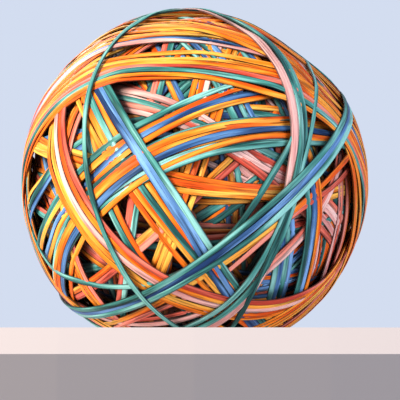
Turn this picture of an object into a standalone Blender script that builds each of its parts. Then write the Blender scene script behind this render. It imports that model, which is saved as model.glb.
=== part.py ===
"""A rubber band ball: one mass of inner windings, and the separate outer bands that lie on it.

Every outer band is one closed loop of flat rubber that lies taut in a plane of its own. The bands
are wound on in order: each is stretched over the inner windings and over every band before it that
it crosses. The inner windings are round, with broad ribbons of bands fused to them. The front of
the ball is towards -Y, and the origin is the middle of the ball.
"""
import math

import bmesh
import bpy
import numpy as np
from mathutils import Matrix, Vector

# Driving dimensions, in metres
BALL_DIAMETER = 0.085
WINDING_DEPTH = 0.0041      # from the inner windings out to the outermost bands, on average
NARROW_WIDTH = 0.0011
COMMON_WIDTH = 0.00135
BROAD_WIDTH = 0.0019
BAND_THICKNESS = 0.00045

# Fits, in metres
SEAT_CLEARANCE = 0.00015    # between a band and the highest thing that it crosses
SIDE_CLEARANCE = 0.0002     # between bands that lie side by side

# The inner windings lie off the middle of the ball, away from the side where most bands cross, and
# they are a little flat where the bands cross most
CORE_SHIFT = Vector((-0.0009, 0.0006, -0.0024))
CORE_FLAT_AXIS = Vector((0.80, -0.36, 0.48))
CORE_FLATTENING = 0.0016    # how much nearer its flat sides are

# Roundness of the solids
BAND_SIDES = 20             # straight sides of one loop
SHORTEST_SIDE = 0.002
CORE_SUBDIVISIONS = 2
SMOOTH_ANGLE = math.radians(30)

# The broad ribbons of inner bands that are fused to the core
RIBBON_COUNT = 9
RIBBON_WIDTH = 0.005
RIBBON_STEP = 0.00012       # how much higher each ribbon lies than the one before it
GOLDEN_ANGLE = math.pi * (3 - math.sqrt(5))

# The eye that the bundles' places below were read from, in metres from the middle of the ball
EYE_DISTANCE = 0.6
EYE_HEIGHT = -0.045

COLOURS = {
    "orange": (0.90, 0.25, 0.02),
    "salmon": (0.84, 0.19, 0.13),
    "pink": (0.86, 0.52, 0.52),
    "teal": (0.06, 0.30, 0.26),
    "blue": (0.08, 0.20, 0.54),
    "umber": (0.05, 0.03, 0.03),
}

# Bundles of bands, lowest first: name, colours from the upper edge down, width, and two or three
# spots on the ball's face that the bundle runs over. A spot is its distance to the right of the
# middle of the face and up from it, in hundredths of the radius of the outline.
BUNDLES = [
    ("low_cross", "salmon teal", COMMON_WIDTH, [(-34, -36), (9, -37), (63, -30)]),
    ("upright", "salmon teal", COMMON_WIDTH, [(-21, 54), (-33, -8), (-41, -63)]),
    ("left_rim", "teal orange", COMMON_WIDTH, [(-85, 50), (-95, -28)]),
    ("short_rise", "orange salmon", COMMON_WIDTH, [(8, -4), (27, 14)]),
    ("low_shelf", "blue", COMMON_WIDTH, [(-80, 26), (0, 25)]),
    ("second_sweep", "orange teal", COMMON_WIDTH, [(-62, 28), (-20, -60)]),
    ("crossbar", "orange orange orange", COMMON_WIDTH, [(-15, -2), (12, -6), (43, -9)]),
    ("left_drop", "orange salmon", COMMON_WIDTH, [(-71, 30), (-76, -20), (-56, -70)]),
    ("right_rim", "orange salmon", COMMON_WIDTH, [(90, 25), (85, -50)]),
    ("right_hook", "pink", COMMON_WIDTH, [(73, -26), (37, -62)]),
    ("right_drop", "orange blue teal", COMMON_WIDTH, [(70, -6), (71, -31), (59, -75)]),
    ("arch", "teal orange", COMMON_WIDTH, [(-32, 30), (27, 58)]),
    ("long_sweep", "orange teal orange", COMMON_WIDTH, [(-56, 38), (-28, -8), (2, -47)]),
    ("low_slope", "orange teal teal", COMMON_WIDTH, [(-43, -5), (-2, 17), (82, 26)]),
    ("top_slope", "teal orange blue", COMMON_WIDTH, [(-23, 14), (12, 30), (56, 38)]),
    ("left_shelf", "teal blue", COMMON_WIDTH, [(-95, -10), (-77, 14), (-48, 31)]),
    ("left_sweep", "salmon orange pink", COMMON_WIDTH, [(-78, 37), (-66, -8), (-26, -53)]),
    ("crown", "orange blue pink", COMMON_WIDTH, [(-46, 80), (52, 73)]),
    ("right_brow", "orange orange", COMMON_WIDTH, [(50, 72), (85, 30)]),
    ("brow", "orange orange salmon teal orange", COMMON_WIDTH, [(-84, 40), (-2, 72), (78, 38)]),
    ("diagonal", "teal blue", COMMON_WIDTH, [(-51, 51), (-23, 6), (21, -60)]),
    ("pale_fall", "pink", BROAD_WIDTH, [(35, 88), (60, 33), (45, -45)]),
    ("teal_fall", "teal teal", COMMON_WIDTH, [(50, 76), (64, 35), (62, 1)]),
    ("low_belt", "orange", COMMON_WIDTH, [(-34, -78), (1, -59), (40, -32)]),
    ("belt_branch", "teal", COMMON_WIDTH, [(55, 9), (44, -11), (18, -39)]),
    ("belt", "teal blue teal", COMMON_WIDTH, [(-44, -74), (12, -45), (82, 21)]),
    ("thread", "teal", NARROW_WIDTH, [(-48, 79), (-62, 24), (-37, -55)]),
]

BALL_RADIUS = BALL_DIAMETER / 2
TURN = 2 * math.pi / BAND_SIDES
DIRECTIONS = np.array([(math.cos(k * TURN), math.sin(k * TURN)) for k in range(BAND_SIDES)])


def clear_scene():
    for item in list(bpy.data.objects):
        bpy.data.objects.remove(item)


def rubber(colour):
    """The Principled material of one colour of rubber, made when it is first asked for."""
    name = colour + "_rubber"
    material = bpy.data.materials.get(name)
    if material is None:
        material = bpy.data.materials.new(name)
        material.use_nodes = True
        shader = material.node_tree.nodes["Principled BSDF"]
        shader.inputs["Base Color"].default_value = (*COLOURS[colour], 1)
        shader.inputs["Roughness"].default_value = 0.5
        shader.inputs["Metallic"].default_value = 0
    return material


def add_object(name, mesh_builder, colour, place, ball):
    """One named piece from a bmesh, in its colour, at its place under the ball's empty."""
    mesh = bpy.data.meshes.new(name)
    bmesh.ops.recalc_face_normals(mesh_builder, faces=mesh_builder.faces)
    mesh_builder.to_mesh(mesh)
    mesh_builder.free()
    mesh.shade_smooth()
    mesh.set_sharp_from_angle(angle=SMOOTH_ANGLE)
    mesh.materials.append(rubber(colour))
    piece = bpy.data.objects.new(name, mesh)
    bpy.context.collection.objects.link(piece)
    piece.parent = ball
    piece.matrix_world = place
    return piece


def world_edges(mesh_builder, place):
    """Both ends of every edge of a mesh in world space, as an array of shape (edges, 2, 3)."""
    return np.array([[place @ end.co for end in edge.verts] for edge in mesh_builder.edges])


def spot_on_ball(right, up):
    """The direction from the middle of the ball to the spot that the eye sees at (right, up).

    The line of sight through the spot is cut with the ball, and the nearer cut is the spot.
    """
    distance = math.hypot(EYE_DISTANCE, EYE_HEIGHT)
    spread = BALL_RADIUS / math.sqrt(distance ** 2 - BALL_RADIUS ** 2) / 100
    eye = Vector((0, -distance, 0))
    sight = Vector((right * spread, 1, up * spread)).normalized()
    nearest = -eye.dot(sight)
    half_chord = math.sqrt(max(BALL_RADIUS ** 2 - distance ** 2 + nearest ** 2, 0))
    spot = eye + sight * (nearest - half_chord)
    tilt = Matrix.Rotation(math.atan2(-EYE_HEIGHT, EYE_DISTANCE), 3, "X")
    return tilt @ spot.normalized()


def bundle_plane(spots):
    """Unit normal, pointing down, and distance from the middle, of the plane through the spots.

    Two spots give the plane through the middle of the ball.
    """
    ends = [spot_on_ball(*spot) for spot in spots]
    if len(ends) == 2:
        ends.append(Vector((0, 0, 0)))
    normal = (ends[1] - ends[0]).cross(ends[2] - ends[0]).normalized()
    if normal.z > 0:
        normal.negate()
    return normal, normal.dot(ends[0]) * BALL_RADIUS


def band_place(normal, distance):
    """The matrix that lays the XY plane of a band's mesh into its plane in the ball."""
    across = normal.orthogonal().normalized()
    along = normal.cross(across)
    turn = Matrix((across, along, normal)).transposed().to_4x4()
    return Matrix.Translation(normal * distance) @ turn


def taut_sides(edges, place, width):
    """How far each straight side of a band stands from the middle of its loop.

    The edges of all that is wound already are cut to the slab that the band covers. A side rests
    on the farthest of these points in its own direction, and a side that would come out too short
    lifts its two neighbours.
    """
    local = edges @ np.array(place.to_3x3()) - np.array(place.translation) @ np.array(place.to_3x3())
    half = width / 2 + SIDE_CLEARANCE / 2
    start, end = local[:, 0], local[:, 1]
    rise = end[:, 2] - start[:, 2]
    rise = np.where(np.abs(rise) < 1e-12, 1e-12, rise)
    cuts = np.sort(np.stack([(-half - start[:, 2]) / rise, (half - start[:, 2]) / rise]), axis=0)
    first, last = np.clip(cuts[0], 0, 1), np.clip(cuts[1], 0, 1)
    inside = (cuts[0] <= 1) & (cuts[1] >= 0)
    step = (end - start)[:, :2]
    points = np.concatenate([start[inside, :2] + step[inside] * share[inside, None]
                             for share in (first, last)])
    sides = (points @ DIRECTIONS.T).max(axis=0) + SEAT_CLEARANCE
    for _ in range(BAND_SIDES):
        before, after = np.roll(sides, 1), np.roll(sides, -1)
        lengths = (before + after - 2 * sides * math.cos(TURN)) / math.sin(TURN)
        lift = np.maximum(SHORTEST_SIDE - lengths, 0) * math.sin(TURN) / 2
        sides = sides + np.roll(lift, 1) + np.roll(lift, -1)
    return sides


def corners(sides):
    """The corners of the loop whose straight sides stand at these distances from its middle."""
    following = np.roll(sides, -1)
    turned = np.roll(DIRECTIONS, -1, axis=0)
    x = (sides * turned[:, 1] - following * DIRECTIONS[:, 1]) / math.sin(TURN)
    y = (following * DIRECTIONS[:, 0] - sides * turned[:, 0]) / math.sin(TURN)
    return zip(x, y)


def extrude(builder, width):
    """Makes the flat faces of a mesh a solid that is this much wide."""
    raised = bmesh.ops.extrude_face_region(builder, geom=builder.faces[:], use_keep_orig=True)
    top = [item for item in raised["geom"] if isinstance(item, bmesh.types.BMVert)]
    bmesh.ops.translate(builder, verts=top, vec=(0, 0, width))


def band_builder(sides, width):
    """A closed loop of flat rubber: the ring between its inner and outer corners, extruded."""
    builder = bmesh.new()
    inner = [builder.verts.new((x, y, -width / 2)) for x, y in corners(sides)]
    outer = [builder.verts.new((x, y, -width / 2)) for x, y in corners(sides + BAND_THICKNESS)]
    for k in range(BAND_SIDES):
        after = (k + 1) % BAND_SIDES
        builder.faces.new((inner[k], outer[k], outer[after], inner[after]))
    extrude(builder, width)
    return builder


def ribbon_builder(sides):
    """A disc whose rim is the outer face of a ribbon. The rest of it is inside the core."""
    builder = bmesh.new()
    rim = [builder.verts.new((x, y, -RIBBON_WIDTH / 2)) for x, y in corners(sides + BAND_THICKNESS)]
    builder.faces.new(rim)
    extrude(builder, RIBBON_WIDTH)
    return builder


def ribbon_normal(index):
    """The normal of one ribbon's plane. The normals spread evenly over half of all directions."""
    height = (index + 0.5) / RIBBON_COUNT
    ring = math.sqrt(1 - height ** 2)
    return Vector((ring * math.cos(index * GOLDEN_ANGLE), ring * math.sin(index * GOLDEN_ANGLE), height))


def add_ribbons(core, edges, ball):
    """Lays the ribbons on the core and unites them with it, each a little higher than the last.

    Returns the edges of the core and the ribbons.
    """
    added = [edges]
    for index in range(RIBBON_COUNT):
        place = band_place(ribbon_normal(index), CORE_SHIFT.dot(ribbon_normal(index)))
        sides = taut_sides(edges, place, RIBBON_WIDTH) + index * RIBBON_STEP
        builder = ribbon_builder(sides)
        added.append(world_edges(builder, place))
        ribbon = add_object(f"ribbon_{index + 1}", builder, "umber", place, ball)
        ribbon.hide_render = True
        ribbon.display_type = "WIRE"
        union = core.modifiers.new(ribbon.name, "BOOLEAN")
        union.operation = "UNION"
        union.object = ribbon
    return np.concatenate(added)


def add_core(ball):
    """The inner windings, fused into one mass: a ball, a little flat, with ribbons round it.

    Returns the edges of the ball and the ribbons.
    """
    radius = BALL_RADIUS - WINDING_DEPTH
    builder = bmesh.new()
    bmesh.ops.create_icosphere(builder, subdivisions=CORE_SUBDIVISIONS, radius=radius)
    flatten = Matrix.Scale(1 - CORE_FLATTENING / radius, 4, CORE_FLAT_AXIS.normalized())
    bmesh.ops.transform(builder, matrix=flatten, verts=builder.verts)
    place = Matrix.Translation(CORE_SHIFT)
    edges = world_edges(builder, place)
    core = add_object("inner_windings", builder, "umber", place, ball)
    return add_ribbons(core, edges, ball)


def add_bundle(name, colours, width, spots, edges, ball):
    """Winds one bundle of parallel bands over what is there. Returns the edges with it."""
    normal, distance = bundle_plane(spots)
    pitch = width + SIDE_CLEARANCE
    added = [edges]
    for index, colour in enumerate(colours):
        place = band_place(normal, distance + (index - (len(colours) - 1) / 2) * pitch)
        builder = band_builder(taut_sides(edges, place, width), width)
        added.append(world_edges(builder, place))
        add_object(f"{name}_{colour}_{index + 1}", builder, colour, place, ball)
    return np.concatenate(added)


clear_scene()
ball_empty = bpy.data.objects.new("ball", None)
bpy.context.collection.objects.link(ball_empty)
wound = add_core(ball_empty)
for bundle_name, bundle_colours, band_width, bundle_spots in BUNDLES:
    wound = add_bundle(bundle_name, bundle_colours.split(), band_width, bundle_spots, wound, ball_empty)
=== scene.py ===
"""The looks of the rubber band ball: every band as a strand of soft, slightly twisted rubber.

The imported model's bands are flat loops of straight sides. Here each of them is the same loop, made
smooth, pressed a little and given a strand's rounded section. The fused inner windings become single
bands again, wound one over the other from the middle of the ball outwards.
"""
import math
import zlib

import bmesh
import bpy
import numpy as np
from mathutils import Matrix, Vector


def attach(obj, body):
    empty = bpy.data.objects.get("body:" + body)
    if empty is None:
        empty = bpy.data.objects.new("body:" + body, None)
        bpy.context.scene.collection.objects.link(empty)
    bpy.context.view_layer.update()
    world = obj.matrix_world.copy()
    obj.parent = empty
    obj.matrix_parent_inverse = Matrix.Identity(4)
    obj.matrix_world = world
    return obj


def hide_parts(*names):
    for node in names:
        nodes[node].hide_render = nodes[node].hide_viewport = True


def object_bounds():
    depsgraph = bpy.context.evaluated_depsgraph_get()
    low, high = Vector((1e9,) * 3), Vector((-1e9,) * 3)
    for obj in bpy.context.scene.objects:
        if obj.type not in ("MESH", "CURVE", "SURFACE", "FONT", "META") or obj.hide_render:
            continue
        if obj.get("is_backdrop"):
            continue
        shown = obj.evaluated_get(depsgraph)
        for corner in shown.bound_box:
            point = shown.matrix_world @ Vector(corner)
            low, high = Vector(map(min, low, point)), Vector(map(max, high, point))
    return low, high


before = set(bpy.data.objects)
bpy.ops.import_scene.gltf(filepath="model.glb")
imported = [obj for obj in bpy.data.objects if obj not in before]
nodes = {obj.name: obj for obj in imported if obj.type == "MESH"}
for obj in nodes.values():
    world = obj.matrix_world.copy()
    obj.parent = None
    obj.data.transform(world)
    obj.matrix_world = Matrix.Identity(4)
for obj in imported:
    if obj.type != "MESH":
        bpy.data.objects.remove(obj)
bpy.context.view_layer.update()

# The camera looks slightly up, from just under the level that the ball lies on. Its lens and aim put
# the ball's outline on a circle of the radius and middle given here, in pixels of a picture of 400
# by 400.
PICTURE_SIZE = 400
OUTLINE_MIDDLE = (194, 179)
OUTLINE_RADIUS = 178
BALL_RADIUS = 0.0425
EYE_DISTANCE = 0.6
EYE_HEIGHT = -0.045

camera = bpy.data.cameras.new("camera")
sight_length = math.hypot(EYE_DISTANCE, EYE_HEIGHT)
outline_slope = BALL_RADIUS / math.sqrt(sight_length ** 2 - BALL_RADIUS ** 2)
focal_pixels = OUTLINE_RADIUS / outline_slope
camera.lens = focal_pixels / PICTURE_SIZE * camera.sensor_width
camera_object = bpy.data.objects.new("camera", camera)
bpy.context.scene.collection.objects.link(camera_object)
camera_object.location = (0, -EYE_DISTANCE, EYE_HEIGHT)
pitch = math.atan2(-EYE_HEIGHT, EYE_DISTANCE) - (PICTURE_SIZE / 2 - OUTLINE_MIDDLE[1]) / focal_pixels
yaw = -(PICTURE_SIZE / 2 - OUTLINE_MIDDLE[0]) / focal_pixels
camera_object.rotation_euler = (math.radians(90) + pitch, 0, yaw)
bpy.context.scene.camera = camera_object


# The middle of the ball: a tight mass of old bands, of which only lumps show at the bottom of the
# deepest gaps. It is natural rubber, pressed together by all that is wound over it, and painted
# nearly black as the shade at the bottom of those gaps.
MASS_RADIUS = 0.0365
MASS_LUMP = 0.0006
MASS_LUMPS_ROUND = 23       # waves of lumps round the mass
MASS_SWAY = 0.4             # how much the lumps' rows sway, in radians
MASS_GRID = (96, 192)
DARK_GRAIN = 0.002          # the size of its cloudy grain


def linear(hex_colour):
    """A hex sRGB colour as linear red, green, blue and alpha, by the sRGB curve."""
    channels = [int(hex_colour[k:k + 2], 16) / 255 for k in (1, 3, 5)]
    return [c / 12.92 if c <= 0.04045 else ((c + 0.055) / 1.055) ** 2.4 for c in channels] + [1]


def add_node(tree, kind, settings=None, links=None):
    """Adds one shader node, with its settings by name and its input sockets by name and value."""
    node = tree.nodes.new("ShaderNode" + kind)
    for name, value in (settings or {}).items():
        setattr(node, name, value)
    for name, value in (links or {}).items():
        if isinstance(value, bpy.types.NodeSocket):
            tree.links.new(value, node.inputs[name])
        else:
            node.inputs[name].default_value = value
    return node


def add_piece(name, points, faces, material, replaced):
    """A mesh object from arrays, smooth, with its material, that rides on the ball."""
    mesh = bpy.data.meshes.new(name)
    mesh.from_pydata(points.reshape(-1, 3), [], faces.tolist())
    mesh.shade_smooth()
    mesh.materials.append(material)
    piece = bpy.data.objects.new(name, mesh)
    bpy.context.scene.collection.objects.link(piece)
    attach(piece, "root")
    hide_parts(*replaced)
    return piece


def grid_faces(rows, columns, close_rows):
    """The quads of a grid of points whose columns close on themselves, and whose rows may."""
    row = np.arange(rows if close_rows else rows - 1)
    row, column = np.meshgrid(row, np.arange(columns), indexing="ij")
    steps = ((0, 0), (0, 1), (1, 1), (1, 0))
    corners = [(row + a) % rows * columns + (column + b) % columns for a, b in steps]
    return np.stack(corners, -1).reshape(-1, 4)


def dark_rubber():
    """Natural rubber, cut in bands and pressed together, with painted shade for its colour.

    To the eye it is nearly black, the deep shade at the bottom of the gaps, with no gloss and with a
    faint cloudy grain about 2 mm wide.
    """
    material = bpy.data.materials.new("painted_shade_core_rubber")
    material.use_nodes = True
    tree = material.node_tree
    shader = tree.nodes["Principled BSDF"]
    place = add_node(tree, "TexCoord").outputs["Object"]
    grain = add_node(tree, "TexNoise", links={"Vector": place, "Scale": 1 / DARK_GRAIN, "Detail": 3.0})
    ramp = add_node(tree, "ValToRGB", links={"Fac": grain.outputs["Fac"]})
    # near-black tones: painted shade for the bottom of the deepest gaps
    ramp.color_ramp.elements[0].color = linear("#08090D")
    ramp.color_ramp.elements[1].color = linear("#16161C")
    tree.links.new(ramp.outputs["Color"], shader.inputs["Base Color"])
    shader.inputs["Roughness"].default_value = 0.85
    return material


def add_middle():
    """A ball whose radius swells and sinks in crossed waves, like bands under bands.

    A point is at the radius times (sin a cos b, sin a sin b, cos a), where a is the angle down from
    the top and b the turn. The radius adds the product of two sine waves, one along each angle.
    """
    rows, columns = MASS_GRID
    down = (np.arange(rows) + 0.5) / rows * np.pi
    turn = np.arange(columns) / columns * 2 * np.pi
    down, turn = np.meshgrid(down, turn, indexing="ij")
    along = np.sin(MASS_LUMPS_ROUND * (turn + np.cos(down)))
    across = np.sin(MASS_LUMPS_ROUND * (down + MASS_SWAY * np.sin(turn)))
    radius = MASS_RADIUS + MASS_LUMP * (along * across) * np.sin(down)
    points = radius[..., None] * np.stack(
        [np.sin(down) * np.cos(turn), np.sin(down) * np.sin(turn), np.cos(down)], -1)
    faces = grid_faces(rows, columns, False)[:, ::-1]
    piece = add_piece("middle_mass", points, faces, dark_rubber(), ["inner_windings"])
    close_poles(piece)


def close_poles(piece):
    """Closes the two open rings at the ends of a turned mesh with one face each."""
    editor = bmesh.new()
    editor.from_mesh(piece.data)
    bmesh.ops.holes_fill(editor, edges=editor.edges[:], sides=0)
    bmesh.ops.recalc_face_normals(editor, faces=editor.faces[:])
    editor.to_mesh(piece.data)
    editor.free()


add_middle()

# The inner bands: flat loops of dyed natural rubber, each stretched over all those before it. They
# are wound two to four at a time in every direction, and nothing but their own pull holds them.
# Those deep in the ball are mostly teal and blue.
BAND_PITCH = 0.0015         # between the middles of two bands that lie side by side
BAND_THICKNESS = 0.0005
BAND_PRESS = 0.00045        # how far a band presses into what it crosses
BEARING = 0.42              # a band bears on what it crosses over this share of its width, each way
BEARING_POINTS = 7          # points across a band where the height under it is looked up
COVERED_POINTS = 9          # and where its own height is marked
PRESSED_ABOVE = 0.0405      # what would stand farther out is pressed flat by the bands over it,
PRESSED_TO = 0.46           # and keeps this share of what stands out
RING_STEPS = 720            # steps round a band when it is wound
BEND_STEPS = 4              # steps over which a band bends at least
TAUT_EVERY = 4              # a taut loop has a straight side for each so many steps
LEAST_SLANT = 0.3           # a side counts for the steps that it faces at least this squarely
CELLS = 360                 # cells along one side of the height map's six faces
FARTHEST_PLANE = 0.04       # a plane beyond this is looked up on the map as if it lay here
LEAST_REACH = 0.001         # of a band from the middle of its own loop
CLOSENESS = 0.92            # the bands of a bundle lie at this share of their distance apart,
CLOSENESS_WANDER = 0.18     # and here a little closer and there a little wider
OWN_WANDER = 0.00008        # how far each band strays from its bundle
TWIST = 0.14                # radians that a bundle turns about its line, and each band as well
TWIST_LOST = 0.75           # the share of the twist that is lost where bands are pressed flat,
TWIST_LOST_BELOW = 0.0006   # which starts this far below the pressed height
TWIST_LOST_OVER = 0.0012    # and takes this much height
FULLNESS = 0.08             # how much a band's width changes along it
BUNDLE_SWAY = 0.0004        # how far a bundle strays from its plane
LOOSE_SWAY = 0.0008         # and one that was wound without care
LONGEST_SHIFT = 0.5         # how far a band's pattern is shifted, so that no two are alike
# A band's section: across and up, in shares of half its width and half its thickness
PROFILE = np.array([(-0.75, -1), (0, -1), (0.75, -1), (1, -0.2), (0.92, 0.4),
                    (0.6, 0.84), (0, 1), (-0.6, 0.84), (-0.92, 0.4), (-1, -0.2)])

height_map = np.full(6 * CELLS * CELLS, MASS_RADIUS + MASS_LUMP)
ring = np.arange(RING_STEPS) * 2 * np.pi / RING_STEPS


def cells(points):
    """Which cell of the height map each point lies over.

    The map is a cube round the ball. A point's face is that of its longest coordinate, and the other
    two, divided by it, give the row and the column.
    """
    axis = np.abs(points).argmax(-1)[..., None]
    longest = np.take_along_axis(points, axis, -1)
    across = [np.take_along_axis(points, (axis + k) % 3, -1) / np.abs(longest) for k in (1, 2)]
    row, column = [np.clip(((a + 1) / 2 * CELLS).astype(int), 0, CELLS - 1) for a in across]
    face = axis * 2 + (longest > 0)
    return ((face * CELLS + row) * CELLS + column)[..., 0]


def smooth(values, steps):
    """A closed row of values, blurred by a bell curve this many steps wide."""
    waves = np.arange(len(values) // 2 + 1) * 2 * np.pi / len(values)
    return np.fft.irfft(np.fft.rfft(values) * np.exp(-(waves * steps) ** 2 / 2), len(values))


def random_of(name):
    """A source of random numbers that is always the same for one name."""
    return np.random.default_rng(zlib.crc32(name.encode()))


def wander(draw, size, fewest, most):
    """A closed wavy line of about this size, with a value for each step of the ring.

    It is the sum of one wave for each count from the fewest to the most waves round the loop, with
    random strengths and phases.
    """
    counts = np.arange(fewest, most + 1)
    strengths = draw.normal(size=counts.size) / np.sqrt(counts.size)
    phases = draw.uniform(0, 2 * np.pi, counts.size)
    return size * (strengths[:, None] * np.sin(counts[:, None] * ring + phases[:, None])).sum(0)


def taut(angles, distances):
    """How far a loop that is pulled tight round some points stands off, at each step of the ring.

    In every direction the farthest point holds up a straight side. The loop is the nearest of all
    these sides.
    """
    sides = ring[::TAUT_EVERY]
    support = (distances * np.cos(angles - sides[:, None])).max(-1)
    slant = np.cos(ring[:, None] - sides)
    away = np.where(slant > LEAST_SLANT, support / np.maximum(slant, LEAST_SLANT), np.inf)
    return away.min(-1)


def plane_axes(normal):
    """Two unit vectors in the plane across the normal."""
    first = np.cross(normal, [0.0, 0.0, 1.0] if abs(normal[2]) < 0.9 else [1.0, 0.0, 0.0])
    first /= np.linalg.norm(first)
    return first, np.cross(normal, first)


def pressed(reach):
    """The distance from the middle, less most of what lies beyond the height of pressing."""
    return np.where(reach > PRESSED_ABOVE, PRESSED_ABOVE + (reach - PRESSED_ABOVE) * PRESSED_TO, reach)


def wind(bundle, index, normal, middle, lean, width, floor=None, sway=BUNDLE_SWAY):
    """Lays one band of a bundle on the ball.

    It returns the band's line, its outward direction, twist and width along that line, and the
    shift of its pattern. The bundle lies in a plane at a distance from the middle of the ball, but
    for a little sway, and its bands lean to both sides of that plane. A point of the line is the
    spoke that leads to it times its reach, plus the normal times the offset from the plane. Its
    reach is the root of the squared height of what it rests on, less the squared offset, pulled
    taut round the loop. The band rests on the height map, or at its floor where that is higher, and
    then raises the map itself. Last, it is pressed flat with all the others.
    """
    shared = random_of(bundle)
    draw = random_of(f"{bundle}_{index}")
    first, second = plane_axes(normal)
    spokes = np.cos(ring)[:, None] * first + np.sin(ring)[:, None] * second
    offset = middle + wander(shared, sway, 2, 5)
    offset += lean * (CLOSENESS + wander(shared, CLOSENESS_WANDER, 2, 6))
    offset += wander(draw, OWN_WANDER, 3, 9)

    near = math.sqrt(BALL_RADIUS ** 2 - min(abs(middle), FARTHEST_PLANE) ** 2)
    across = np.linspace(-BEARING, BEARING, BEARING_POINTS) * width
    track = spokes[:, None] * near + normal * (offset[:, None] + across)[..., None]
    ground = height_map[cells(track)].max(-1) + BAND_THICKNESS / 2 - BAND_PRESS
    if floor is not None:
        ground = np.maximum(ground, floor)
    ground = np.max([np.roll(ground, k) for k in range(-BEND_STEPS, BEND_STEPS + 1)], axis=0)
    reach = np.sqrt(np.maximum(ground ** 2 - offset ** 2, LEAST_REACH ** 2))
    reach = smooth(taut(ring, reach), BEND_STEPS)
    line = spokes * reach[:, None] + normal * offset[:, None]
    outward = line / np.linalg.norm(line, axis=-1, keepdims=True)

    across = np.linspace(-BEARING, BEARING, COVERED_POINTS) * width
    covered = line[:, None] + normal * across[:, None]
    top = np.linalg.norm(line, axis=-1) + BAND_THICKNESS / 2
    for part in (covered, (covered + np.roll(covered, -1, 0)) / 2):
        under = cells(part)
        height_map[under] = np.maximum(height_map[under], top[:, None])

    reach = np.linalg.norm(line, axis=-1)
    line *= (pressed(reach) / reach)[:, None]
    flat = np.clip((reach - PRESSED_ABOVE + TWIST_LOST_BELOW) / TWIST_LOST_OVER, 0, 1)
    twist = (wander(shared, TWIST, 1, 5) + wander(draw, TWIST, 2, 9)) * (1 - TWIST_LOST * flat)
    fullness = 1 + wander(draw, FULLNESS, 1, 12)
    return line, outward, twist, fullness * width, draw.uniform(0, LONGEST_SHIFT)


def strand_grid(wound, steps):
    """The surface of one band: its section, carried along its line, with its faces and its grain.

    A point is the line's, plus the section's first coordinate along the band's width, plus its
    second along the band's thickness. Both directions are turned about the line by the twist. The
    grain is a place in mm for the patterns: a ring as long as the band, and the place across it.
    """
    line, outward, twist, width, shift = wound
    every = RING_STEPS // steps
    ahead = np.roll(line, -1, 0) - np.roll(line, 1, 0)
    ahead /= np.linalg.norm(ahead, axis=-1, keepdims=True)
    side = np.cross(ahead, outward)
    side /= np.linalg.norm(side, axis=-1, keepdims=True)
    up = np.cross(side, ahead)
    turned_side = np.cos(twist)[:, None] * side + np.sin(twist)[:, None] * up
    turned_up = np.cos(twist)[:, None] * up - np.sin(twist)[:, None] * side
    reach_side = PROFILE[:, 0] * width[:, None] / 2
    reach_up = np.broadcast_to(PROFILE[:, 1] * BAND_THICKNESS / 2, reach_side.shape)
    grid = line[:, None] + turned_side[:, None] * reach_side[..., None]
    grid += turned_up[:, None] * reach_up[..., None]
    length = np.linalg.norm(np.roll(line, -1, 0) - line, axis=-1).sum()
    round_it = np.stack([np.cos(ring), np.sin(ring)], -1) * length / (2 * np.pi)
    round_it = np.broadcast_to(round_it[:, None], (RING_STEPS, len(PROFILE), 2))
    grain = (np.concatenate([round_it, reach_side[..., None]], -1) + shift) * 1000
    return grid[::every], grid_faces(steps, len(PROFILE), True), grain[::every]


TONE_SIZE = (25, 3)         # mm along and across a band, for the slow changes of its tone,
STREAK_SIZE = (12, 0.8)     # for the streaks in its dye,
LINE_SIZE = (11, 0.5)       # and for the lines of its surface, drawn coarser than the real ones
STREAK_SHARE = 0.35
TONE_STOPS = (0.4, 0.49, 0.62)
UNSHADED_DEPTH = 0.6              # painted shade in gaps: a band lying this many mm below those around it is unshaded, and from here on it keeps only the share below, as painted shade
FULL_SHADE_DEPTH = 3.4             # and from here on it keeps only the shade of age
GAP_SHADE_SHARE = 0.14
RIM_FROM = 0.68             # from this share of half its width on, a band darkens to its edge: painted shade between bands
RIM_TO = 0.96
RIM_SHADE = 0.12
GROOVE_FROM = 0.36          # painted shade in the lines' grooves, below this value of their pattern
GROOVE_TO = 0.5
GROOVE_SHADE = 0.5
LINE_DEPTH = 0.0003


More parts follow.
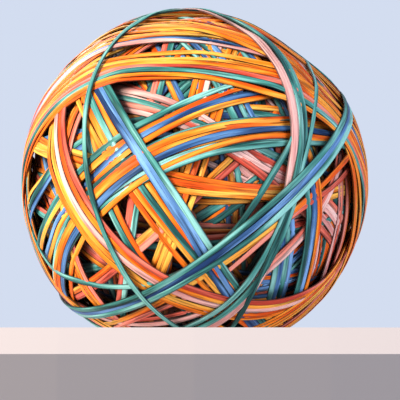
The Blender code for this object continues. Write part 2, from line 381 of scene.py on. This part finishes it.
def rubber(name, deep, plain, bright):
    """Dyed natural rubber, cut from a cured tube.

    To the eye it is satin, with fine lines drawn along it, painted shade in their grooves and painted
    shade along its edges, where it meets the next band. Its dye is uneven: three tones change slowly
    along each band, with thin streaks. Bands that lie lower than the ball around them are darkened
    with painted shade, as in the gaps.
    """
    material = bpy.data.materials.new(name)
    material.use_nodes = True
    tree = material.node_tree
    shader = tree.nodes["Principled BSDF"]
    grain = add_node(tree, "Attribute", {"attribute_name": "grain"}).outputs["Vector"]
    patterns = []
    for (along, across), detail in ((TONE_SIZE, 1.0), (STREAK_SIZE, 2.0), (LINE_SIZE, 2.0)):
        scale = (1 / along, 1 / along, 1 / across)
        place = add_node(tree, "Mapping", links={"Vector": grain, "Scale": scale}).outputs["Vector"]
        noise = add_node(tree, "TexNoise", links={"Vector": place, "Scale": 1.0, "Detail": detail})
        patterns.append(noise.outputs["Fac"])
    tone, streak, lines = patterns
    blend = add_node(tree, "Mix", {"data_type": "FLOAT"}, {"Factor": STREAK_SHARE, "A": tone, "B": streak})
    ramp = add_node(tree, "ValToRGB", links={"Fac": blend.outputs["Result"]})
    ramp.color_ramp.elements.new(TONE_STOPS[1])
    for stop, position, colour in zip(ramp.color_ramp.elements, TONE_STOPS, (deep, plain, bright)):
        stop.position = position
        stop.color = linear(colour)
    sunk = add_node(tree, "Attribute", {"attribute_name": "sunk"}).outputs["Fac"]
    rim = add_node(tree, "Attribute", {"attribute_name": "rim"}).outputs["Fac"]
    shown = ramp.outputs["Color"]
    # Painted shade: darker towards a band's edges, where it lies low in a gap, and in the grooves of its
    # lines
    for value, start, end, shade_at_start, shade_at_end in (
            (rim, RIM_FROM, RIM_TO, 1.0, RIM_SHADE),
            (sunk, UNSHADED_DEPTH, FULL_SHADE_DEPTH, 1.0, GAP_SHADE_SHARE),
            (lines, GROOVE_FROM, GROOVE_TO, GROOVE_SHADE, 1.0)):
        shade = add_node(tree, "MapRange", {"interpolation_type": "SMOOTHSTEP"},
                         {"Value": value, "From Min": start, "From Max": end,
                          "To Min": shade_at_start, "To Max": shade_at_end})
        shaded = add_node(tree, "VectorMath", {"operation": "SCALE"},
                          {"Vector": shown, "Scale": shade.outputs["Result"]})
        shown = shaded.outputs["Vector"]
    tree.links.new(shown, shader.inputs["Base Color"])
    bump = add_node(tree, "Bump", links={"Height": lines, "Strength": 0.9, "Distance": LINE_DEPTH})
    tree.links.new(bump.outputs["Normal"], shader.inputs["Normal"])
    shader.inputs["Roughness"].default_value = 0.5
    shader.inputs["Specular IOR Level"].default_value = 0.28
    shader.inputs["IOR"].default_value = 1.4
    return material


RUBBERS = {
    "orange": rubber("orange_dyed_rubber", "#DE520C", "#FA8418", "#FFC052"),
    "salmon": rubber("salmon_dyed_rubber", "#BC4030", "#E46E5C", "#F59C8C"),
    "pink": rubber("pale_pink_dyed_rubber", "#D08886", "#EDB6B2", "#F4CCC8"),
    "teal": rubber("teal_dyed_rubber", "#154A4B", "#43908C", "#8FD4D2"),
    "blue": rubber("blue_dyed_rubber", "#163869", "#4270AA", "#7AAEEA"),
}


def add_strands(name, colour, wound, steps, replaced):
    """One piece from bands of one colour, with what their material reads.

    At each point it reads the grain, how many mm the point lies lower than the ball around it, and
    how far it is from the band's middle to its edge.
    """
    grids, grains, faces, count = [], [], [], 0
    for band in wound:
        grid, quads, grain = strand_grid(band, steps)
        grids.append(grid.reshape(-1, 3))
        grains.append(grain.reshape(-1, 3))
        faces.append(quads + count)
        count += len(grids[-1])
    points = np.concatenate(grids)
    piece = add_piece(name, points, np.concatenate(faces), RUBBERS[colour], replaced)
    # how far each point lies below the ball around it, which the material darkens as painted shade in the
    # gaps
    sunk = (around[cells(points)] - np.linalg.norm(points, axis=-1)) * 1000
    rim = np.tile(np.abs(PROFILE[:, 0]), count // len(PROFILE))
    layer = piece.data.attributes.new("grain", "FLOAT_VECTOR", "POINT")
    layer.data.foreach_set("vector", np.concatenate(grains).ravel().astype(np.float32))
    for attribute, values in (("sunk", sunk), ("rim", rim)):
        layer = piece.data.attributes.new(attribute, "FLOAT", "POINT")
        layer.data.foreach_set("value", values.astype(np.float32))


INNER_BUNDLES = 38
INNER_FARTHEST = 0.012      # of their planes from the middle of the ball
INNER_STEPS = 90
INNER_COLOURS = ["teal"] * 6 + ["blue"] * 7 + ["orange", "salmon"]
PLANE_TRIES = 16
TRIED_EVERY = 6             # steps of the ring between the points of a plane that is tried
COLOUR_CHANGE = 0.25        # how often the next band of a bundle has another colour


def lowest_plane(draw, facing, spread, nearest, farthest):
    """Of some random planes, the one over the lowest parts of the ball, as its normal and distance."""
    found = []
    for attempt in range(PLANE_TRIES):
        normal = np.array(facing) + draw.normal(size=3) * spread
        normal /= np.linalg.norm(normal)
        middle = draw.uniform(nearest, farthest)
        first, second = plane_axes(normal)
        tried = ring[::TRIED_EVERY]
        spokes = np.cos(tried)[:, None] * first + np.sin(tried)[:, None] * second
        track = spokes * math.sqrt(BALL_RADIUS ** 2 - middle ** 2) + normal * middle
        found.append((height_map[cells(track)].mean(), attempt, normal, middle))
    return min(found)[2:]


def random_bundle(name, draw, plane, colours, wound):
    """Winds two to four bands of mostly one colour side by side in a plane, and keeps them by colour."""
    normal, middle = plane
    colour = colours[draw.integers(len(colours))]
    count = int(draw.integers(2, 5))
    for index in range(count):
        lean = (index - (count - 1) / 2) * BAND_PITCH
        wound[colour].append(wind(name, index, normal, middle, lean, BAND_PITCH, sway=LOOSE_SWAY))
        if draw.random() < COLOUR_CHANGE:
            colour = colours[draw.integers(len(colours))]


def wind_inner_bands():
    """Winds the inner bundles, each of them where the ball is still low."""
    draw = random_of("inner")
    wound = {colour: [] for colour in INNER_COLOURS}
    for bundle in range(INNER_BUNDLES):
        plane = lowest_plane(draw, (0, 0, 0), 1.0, -INNER_FARTHEST, INNER_FARTHEST)
        random_bundle(f"inner_{bundle}", draw, plane, INNER_COLOURS, wound)
    return wound


inner_wound = wind_inner_bands()

# The outer bands: the same rubber bands, mostly orange, laid on in bundles of one to five side by
# side, each stretched round the whole ball over those before it. The last ones, which nothing holds
# down, are the teal and blue belt from edge to edge and the thin teal thread.
PACKED_STEPS = 180
SPARE_STEPS = 120
AROUND = 9                  # cells that count as near, for how deep a place is sunk
SIDE_BY_SIDE = 0.0003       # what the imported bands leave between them, and a little more
PACKED_SWAY = 0.00015
PACKED_SMOOTHING = 14       # steps over which the corners of a packed band are rounded
# How much broader than packed the bands of a bundle are, and how far others have pressed them down
BROADER = {"pale_fall": 0.0007}
SETTLED = {"diagonal": 0.0012, "low_belt": 0.0015, "left_shelf": 0.002, "belt_branch": 0.0012}
FILLING_FACES = (0, 1, 0)   # the planes of the fillings face the back of the ball
FILLING_COLOURS = ["orange"] * 6 + ["salmon"] * 2 + ["pink", "teal"]

# The bundles, lowest first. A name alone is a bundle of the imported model, whose bands give the place
# of their strands. The others lie under, beside and between those: a name, the colours from the upper
# edge down, the width of a band in mm, and either a packed bundle and how far below it they lie in
# mm, or two or three spots that they run over. A spot is its distance to the right of the middle of
# the ball's face and up from it, in hundredths of the outline's radius. A filling is a name, how many
# random bundles it has, how much their planes turn, and the planes' nearest and farthest distance.
BUNDLES = [
    ("steep_blue", "blue orange", 1.5, (-13, 60), (-3, 37)),
    ("right_steep", "orange blue teal", 1.4, (46, 54), (55, 25)),
    ("left_teal", "orange", 1.4, (-58, 48), (-49, 32)),
    ("middle_fan", "orange orange orange", 1.7, (-22, -13), (-31, -30)),
    ("white_left", "orange pink", 1.7, (-44, -14), (-40, -30)),
    ("steep_left", "salmon blue pink salmon", 1.4, (-62, -27), (-59, -44), (-55, -60)),
    ("yellow_folds", "orange orange orange", 1.6, (-56, -55), (-43, -47)),
    ("low_left", "salmon orange", 1.7, (-55, -55), (-43, -64)),
    ("left_blues", "blue orange blue", 1.7, (-81, -55), (-64, -70)),
    ("left_ribbons", "orange orange orange orange", 2.0, (-91, -38), (-77, -24)),
    ("deep_vertical", "salmon orange salmon", 1.4, (23, 5), (27, -25)),
    ("pink_wedge", "salmon pink pink", 2.0, (30, 13), (50, -3)),
    ("pink_bar", "pink", 1.7, (8, 11), (41, -5)),
    ("teal_short", "teal", 1.5, (15, -11), (30, -25)),
    ("orange_short", "orange", 1.3, (16, -16), (25, -31)),
    ("pink_orange", "pink orange", 1.5, (-26, -48), (-15, -41)),
    ("navy_bar", "blue", 1.5, (-19, -49), (-5, -55)),
    ("salmon_slant", "salmon orange", 1.5, (-9, -42), (1, -53)),
    ("coral_rise", "salmon salmon salmon", 1.8, (-15, -76), (8, -58)),
    ("under_belt", "teal orange blue", 1.5, (29, -44), (30, -59)),
    ("low_slant", "salmon salmon orange", 1.5, (-6, -63), (15, -79)),
    ("low_blues", "blue blue", 1.6, (-8, -76), (6, -76)),
    ("low_pale", "pink", 2.2, (-3, -84), (12, -76)),
    ("low_teal", "teal", 1.5, (5, -84), (20, -72)),
    ("low_right", "pink salmon orange", 1.5, (40, -34), (65, -28)),
    ("deep_teals", "teal teal", 2.3, (3, -28), (19, -18)),
    ("right_verticals", "blue orange salmon", 1.5, (53, -35), (50, -47)),
    ("right_fan", "orange blue teal", 1.5, (63, -43), (51, -54), (38, -65)),
    ("right_bars", "blue orange blue", 1.4, (42, -62), (60, -61)),
    ("right_low", "blue salmon salmon orange", 1.7, (36, -74), (58, -69)),
    ("right_slant", "orange pink", 1.5, (34, -71), (50, -84)),
    ("rim_slants", "orange teal orange pink", 1.4, (72, 17), (79, -5)),
    ("rim_bars", "orange teal orange", 1.3, (72, -10), (89, -9)),
    ("rim_bars_low", "salmon orange", 1.4, (74, -27), (90, -21)),
    ("rim_oranges", "orange orange orange", 1.7, (88, -26), (81, -53)),
    ("rim_blue", "blue orange", 1.5, (74, -63), (88, -48)),
    ("top_short", "teal orange", 1.5, (-9, 82), (-4, 87)),
    ("top_right", "teal orange", 1.4, (14, 84), (33, 75)),
    "low_cross",
    "upright",
    "left_rim",
    ("left_rim_more", "orange orange", 1.6, "left_rim", -3.1),
    "short_rise",
    "low_shelf",
    "left_shelf",
    ("shelf_more", "orange", 1.6, "left_shelf", -2.4),
    ("steep_orange", "orange orange", 1.5, (3, 62), (-2, 40)),
    ("steep_pale", "pink", 2.0, (7, 54), (2, 34)),
    ("steep_right", "orange orange orange", 1.5, (16, 53), (9, 33)),
    ("void_high", "blue teal blue teal", 1.7, (26, 52), (34, 37)),
    ("pale_left", "pink pink salmon", 2.0, (-45, 52), (-22, 44)),
    ("pale_middle", "teal salmon pink", 1.7, (-19, 40), (7, 31)),
    "second_sweep",
    "crossbar",
    "left_drop",
    ("left_drop_more", "orange orange", 1.5, "left_drop", -3.2),
    "right_rim",
    ("right_rim_more", "salmon pink", 1.6, "right_rim", 3.2),
    "right_hook",
    ("hook_more", "salmon", 1.5, "right_hook", -1.6),
    "low_belt",
    ("low_belt_more", "salmon", 1.4, "low_belt", 1.9),
    "right_drop",
    "long_sweep",
    ("long_more", "orange", 1.5, "long_sweep", 3.1),
    "low_slope",
    "arch",
    ("arch_under", "blue orange", 1.5, "arch", 3.1),
    "top_slope",
    ("slope_top_more", "orange", 1.6, "top_slope", -0.9),
    ("slope_more", "orange", 1.5, "top_slope", 3.1),
    "diagonal",
    ("diagonal_more", "blue", 1.4, "diagonal", 1.9),
    "belt_branch",
    "left_sweep",
    ("sweep_more", "orange orange", 1.6, "left_sweep", 3.9),
    ("back_filling", 12, 0.25, 0.01, 0.028),
    ("rim_filling", 7, 0.07, -0.003, 0.006),
    "crown",
    ("crown_more", "orange orange", 1.7, "crown", -4.0),
    "right_brow",
    ("right_more", "orange orange orange", 1.6, "right_brow", -4.0),
    ("low_brow_teal", "teal orange", 1.4, (-79, 40), (-59, 54), (3, 67)),
    "brow",
    ("brow_more", "orange", 1.8, "brow", -4.8),
    "pale_fall",
    "teal_fall",
    ("teal_fall_more", "teal", 1.4, (52, -24), (40, -53), (28, -76)),
    "belt",
    "thread",
]


def spot_on_ball(right, up):
    """The direction from the middle of the ball to the spot that the camera sees at (right, up)."""
    slope = outline_slope / 100
    sight = np.array([right * slope, 1, up * slope])
    sight /= np.linalg.norm(sight)
    nearest = sight_length * sight[1]
    half_chord = math.sqrt(max(BALL_RADIUS ** 2 - sight_length ** 2 + nearest ** 2, 0))
    spot = sight * (nearest - half_chord) - [0, sight_length, 0]
    tilt = Matrix.Rotation(math.atan2(-EYE_HEIGHT, EYE_DISTANCE), 3, "X")
    return np.array(tilt @ Vector(spot).normalized())


def spots_plane(spots):
    """Unit normal, pointing down, and distance from the middle, of the plane through the spots."""
    ends = [spot_on_ball(*spot) for spot in spots]
    if len(ends) == 2:
        ends.append(np.zeros(3))
    normal = np.cross(ends[1] - ends[0], ends[2] - ends[0])
    normal /= -np.linalg.norm(normal) if normal[2] > 0 else np.linalg.norm(normal)
    return normal, normal @ ends[0] * BALL_RADIUS


def packed_band(node):
    """The plane, width and distance from the middle all round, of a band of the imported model."""
    mesh = nodes[node].data
    points = np.empty(len(mesh.vertices) * 3, np.float32)
    mesh.vertices.foreach_get("co", points)
    points = np.unique(points.reshape(-1, 3).round(7), axis=0).astype(float)
    middle = points.mean(0)
    normal = np.linalg.svd(points - middle)[2][2]
    normal *= -1 if normal[2] > 0 else 1
    heights = points @ normal
    distance = (heights.max() + heights.min()) / 2
    first, second = plane_axes(normal)
    x, y = points @ first, points @ second
    reach = smooth(taut(np.arctan2(y, x), np.hypot(x, y)), PACKED_SMOOTHING) - BAND_THICKNESS / 2
    return normal, distance, np.ptp(heights), np.sqrt(reach ** 2 + distance ** 2)


def height_around():
    """How high the ball stands round about each cell: its highest near cell, then their mean."""
    faces = pressed(height_map).reshape(6, CELLS, CELLS)
    for method in (np.max, np.mean):
        for axis in (1, 2):
            edge = [(AROUND, AROUND) if k == axis else (0, 0) for k in range(3)]
            padded = np.pad(faces, edge, "edge")
            windows = np.lib.stride_tricks.sliding_window_view(padded, 2 * AROUND + 1, axis)
            faces = method(windows, axis=-1)
    return faces.ravel()


def wind_outer_bands():
    """Winds every outer bundle in turn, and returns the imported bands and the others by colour."""
    spare = {colour: [] for colour in RUBBERS}
    planes = {}
    packed = []
    for bundle in BUNDLES:
        if isinstance(bundle, str):
            names = sorted(n for n in nodes if n.rsplit("_", 2)[0] == bundle)
            bands = [packed_band(node) for node in names]
            middle = np.mean([distance for normal, distance, width, floor in bands])
            planes[bundle] = bands[0][0], middle
            for index, (node, (normal, distance, width, floor)) in enumerate(zip(names, bands)):
                width = width + SIDE_BY_SIDE + BROADER.get(bundle, 0)
                floor = floor - SETTLED.get(bundle, 0)
                lean = distance - middle
                packed.append((node, wind(bundle, index, normal, middle, lean, width, floor, PACKED_SWAY)))
        elif isinstance(bundle[1], int):
            draw = random_of(bundle[0])
            for index in range(bundle[1]):
                plane = lowest_plane(draw, FILLING_FACES, *bundle[2:])
                random_bundle(f"{bundle[0]}_{index}", draw, plane, FILLING_COLOURS, spare)
        else:
            name, colours, width, *place = bundle
            if isinstance(place[0], str):
                normal, middle = planes[place[0]]
                middle += place[1] / 1000
            else:
                normal, middle = spots_plane(place)
            colours = colours.split()
            for index, colour in enumerate(colours):
                lean = (index - (len(colours) - 1) / 2) * width / 1000
                spare[colour].append(wind(name, index, normal, middle, lean, width / 1000))
    return packed, spare


packed, spare = wind_outer_bands()
around = height_around()
for colour, bands in inner_wound.items():
    add_strands(f"inner_{colour}_bands", colour, bands, INNER_STEPS, ["inner_windings"])
for node, band in packed:
    add_strands(node + "_strand", node.rsplit("_", 2)[1], [band], PACKED_STEPS, [node])
for colour, bands in spare.items():
    half = (len(bands) + 1) // 2
    for part, some in (("upper", bands[half:]), ("lower", bands[:half])):
        if some:
            add_strands(f"{part}_{colour}_bands", colour, some, SPARE_STEPS, [])

# The studio: a round pale table whose near edge hides the lowest part of the ball, a pale room, and
# large soft lamps, the brightest of them from the upper left.
TABLE_ROW = 327             # the row of the picture where the table's upper edge is seen
TABLE_THICKNESS = 0.02
TABLE_EDGE = 0.002
TABLE_SIDES = 256
TABLE_GAP = 0.0002          # between the ball and the table


def plain_finish(name, colour, roughness):
    """A plain painted surface: pale, even and matt to the eye."""
    material = bpy.data.materials.new(name)
    material.use_nodes = True
    shader = material.node_tree.nodes["Principled BSDF"]
    shader.inputs["Base Color"].default_value = linear(colour)
    shader.inputs["Roughness"].default_value = roughness
    return material


def add_table(top):
    """A round slab with a softened edge, as rings about the upright axis.

    Its radius puts its near edge on the row of the picture where it is seen.
    """
    rise = math.tan(pitch - math.atan((TABLE_ROW - PICTURE_SIZE / 2) / focal_pixels))
    radius = EYE_DISTANCE - (top - EYE_HEIGHT) / rise
    rings = [(radius - TABLE_EDGE, 0.0), (radius, -TABLE_EDGE), (radius, -TABLE_THICKNESS)]
    turn = np.arange(TABLE_SIDES) / TABLE_SIDES * 2 * np.pi
    points = [(r * math.cos(t), r * math.sin(t), top + z) for r, z in rings for t in turn]
    faces = [[row * TABLE_SIDES + k, row * TABLE_SIDES + (k + 1) % TABLE_SIDES,
              (row + 1) * TABLE_SIDES + (k + 1) % TABLE_SIDES, (row + 1) * TABLE_SIDES + k][::-1]
             for row in range(2) for k in range(TABLE_SIDES)]
    faces.append(list(range(TABLE_SIDES)))
    faces.append(list(range(2 * TABLE_SIDES, 3 * TABLE_SIDES))[::-1])
    mesh = bpy.data.meshes.new("table")
    mesh.from_pydata(points, [], faces)
    mesh.materials.append(plain_finish("pale_lacquer", "#D2CACF", 0.6))
    table = bpy.data.objects.new("table", mesh)
    bpy.context.scene.collection.objects.link(table)
    table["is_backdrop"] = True


def add_lamp(name, place, size, power, colour):
    """A square soft lamp that points at the middle of the ball."""
    light = bpy.data.lights.new(name, "AREA")
    light.size = size
    light.energy = power
    light.color = linear(colour)[:3]
    lamp = bpy.data.objects.new(name, light)
    bpy.context.scene.collection.objects.link(lamp)
    lamp.location = place
    lamp.rotation_euler = (-Vector(place)).to_track_quat("-Z", "Y").to_euler()


def add_room(seen, level):
    """A pale room: the camera and mirrors see its colour, and it lights the ball softly."""
    world = bpy.data.worlds.new("room")
    bpy.context.scene.world = world
    world.use_nodes = True
    tree = world.node_tree
    tree.nodes.clear()
    path = add_node(tree, "LightPath")
    direct = add_node(tree, "Math", {"operation": "MAXIMUM"})
    tree.links.new(path.outputs["Is Camera Ray"], direct.inputs[0])
    tree.links.new(path.outputs["Is Transmission Ray"], direct.inputs[1])
    direct = add_node(tree, "Math", {"operation": "MAXIMUM"},
                      {0: direct.outputs[0], 1: path.outputs["Is Glossy Ray"]})
    light = add_node(tree, "Background", links={"Color": linear("#E8EEF8"), "Strength": level})
    view = add_node(tree, "Background", links={"Color": linear(seen), "Strength": 1.0})
    mix = add_node(tree, "MixShader", links={"Fac": direct.outputs[0]})
    tree.links.new(light.outputs[0], mix.inputs[1])
    tree.links.new(view.outputs[0], mix.inputs[2])
    output = add_node(tree, "OutputWorld")
    tree.links.new(mix.outputs[0], output.inputs["Surface"])


add_table(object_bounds()[0].z - TABLE_GAP)
add_room("#D3DDF0", 0.2)
add_lamp("key_lamp", (-0.58, -0.46, 0.3), 0.24, 11.7, "#FFF1DC")
add_lamp("fill_lamp", (0.6, -0.5, 0.2), 0.5, 4.6, "#F2F6FF")
add_lamp("back_lamp", (-0.3, 0.5, 0.5), 0.5, 3.5, "#FFFFFF")

bpy.context.scene.view_settings.view_transform = "Standard"
